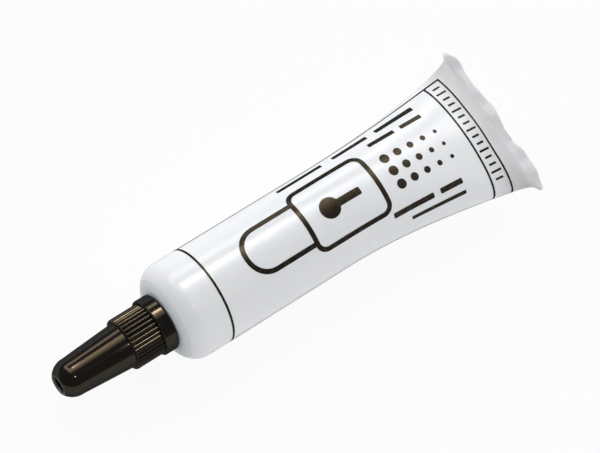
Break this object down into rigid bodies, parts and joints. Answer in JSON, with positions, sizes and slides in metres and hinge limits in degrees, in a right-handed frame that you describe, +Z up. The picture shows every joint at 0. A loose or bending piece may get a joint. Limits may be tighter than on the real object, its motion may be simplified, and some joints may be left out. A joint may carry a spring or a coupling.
{
  "type": "graphite lock lubricant tube",
  "caption": "Soft squeeze tube with a heat-sealed flat tail, a fine powder spout and a long ribbed screw cap that covers it.",
  "frame": {"origin": "centre of the bounding box's underside: under the tube's axis, halfway along its length, on the flat that the sleeve rests on", "axes": "+X along the tube's axis from the cap's nose to the sealed tail, +Y along the flat tail, +Z up"},
  "size_m": [0.0992, 0.0316, 0.0189],
  "materials": {
    "sleeve": "glossy white low-density polyethylene",
    "head": "smooth white polyethylene moulding",
    "spout": "natural polyethylene, slightly milky",
    "cap": "glossy black polypropylene moulding",
    "washer": "soft foamed polyethylene",
    "powder": "dry graphite powder, dull dark grey",
    "ink": "thin film of glossy black ink on the sleeve, in the visual model only"
  },
  "bodies": {
    "tube": {"tube_sleeve": "sleeve", "tube_head": "head", "spout": "spout", "graphite_powder": "powder"},
    "washer": {"seal_washer": "washer"},
    "cap": {"screw_cap": "cap"}
  },
  "joints": [
    {"name": "cap_lift", "type": "slide", "parent": "tube", "child": "washer", "axis": [-1, 0, 0], "range_m": [0, 0.04125]},
    {"name": "cap_turn", "type": "hinge", "parent": "washer", "child": "cap", "pos_m": [-0.0386, 0, 0.00935], "axis": [-1, 0, 0], "range_deg": [0, 5940]}
  ],
  "couplings": [
    {"joint": "cap_turn", "follows": "cap_lift", "rad_per_m": 2513.3}
  ]
}
